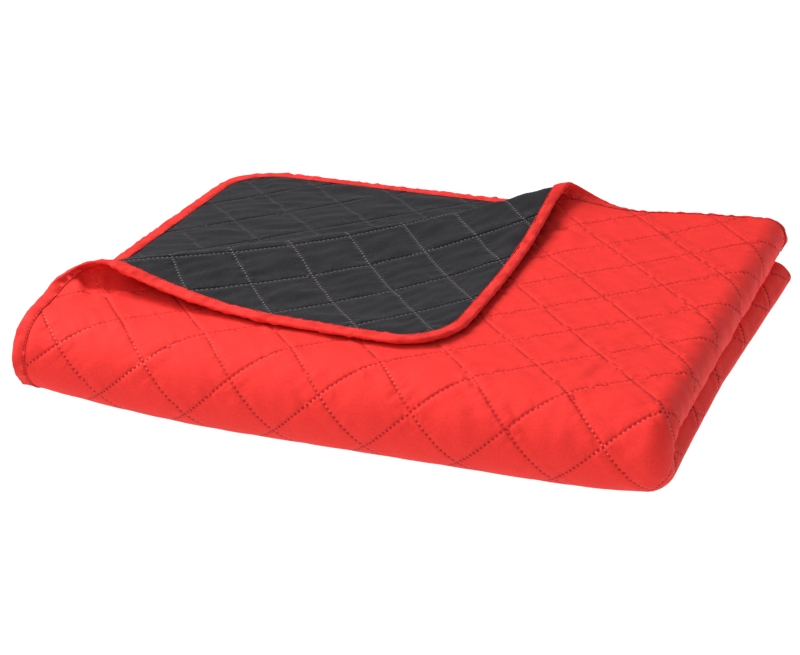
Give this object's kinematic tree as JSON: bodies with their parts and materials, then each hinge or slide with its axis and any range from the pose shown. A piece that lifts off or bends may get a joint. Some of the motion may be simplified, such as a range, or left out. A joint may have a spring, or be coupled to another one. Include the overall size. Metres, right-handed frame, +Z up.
{
  "type": "folded bedspread",
  "caption": "Quilted two-sided bedspread folded into a flat stack, one corner of the top layer turned back to show its dark side, narrow binding round the edge.",
  "frame": {"origin": "middle of the folded stack's footprint, on the surface it lies on", "axes": "+X along the front fold towards the folded lobes, +Y from the front fold to the back edges, +Z up"},
  "size_m": [0.5258, 0.4626, 0.1072],
  "materials": {
    "face_cloth": "soft matte, brushed",
    "back_cloth": "soft matte, brushed",
    "binding_tape": "soft matte, plain weave"
  },
  "bodies": {
    "root": {"face_panel": "face_cloth", "back_panel": "back_cloth", "binding": "binding_tape"}
  },
  "joints": []
}
